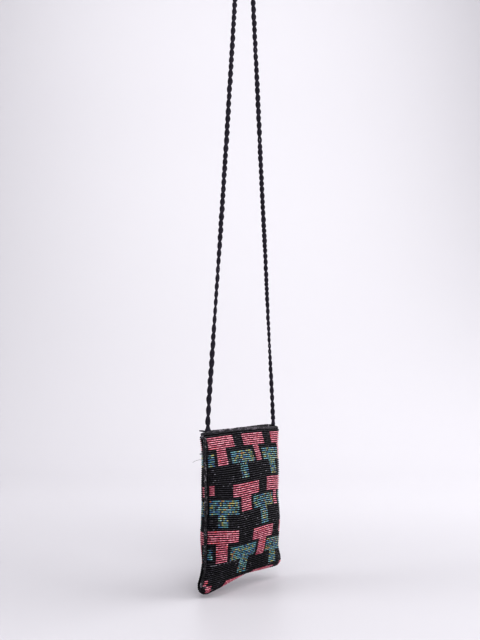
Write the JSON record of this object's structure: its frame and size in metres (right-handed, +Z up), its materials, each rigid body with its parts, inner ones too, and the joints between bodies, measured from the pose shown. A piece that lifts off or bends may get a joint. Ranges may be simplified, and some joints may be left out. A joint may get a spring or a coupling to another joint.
{
  "type": "beaded crossbody bag",
  "caption": "Small soft crossbody bag of beaded cloth with an open top, corded side seams and one long twisted cord strap, hanging from the strap.",
  "frame": {"origin": "where the bag hangs: the underside of the strap at the top of its arch, over the middle of the pouch", "axes": "+X to the right along the mouth, -Y out of the front face, +Z up"},
  "size_m": [0.1224, 0.046, 0.6301],
  "materials": {
    "beaded_cloth": "cloth covered with glossy glass seed beads in rows, black with blocks of dusty rose and of mixed teal",
    "black_trim": "matte black cord and rolled cloth edge",
    "black_cord": "matte purplish black cord of twisted plies"
  },
  "bodies": {
    "root": {"pouch": "beaded_cloth", "side_piping_left": "black_trim", "side_piping_right": "black_trim", "mouth_binding_front": "black_trim", "mouth_binding_back": "black_trim", "strap_end_left": "black_cord", "strap_end_right": "black_cord", "strap": "black_cord"}
  },
  "joints": []
}
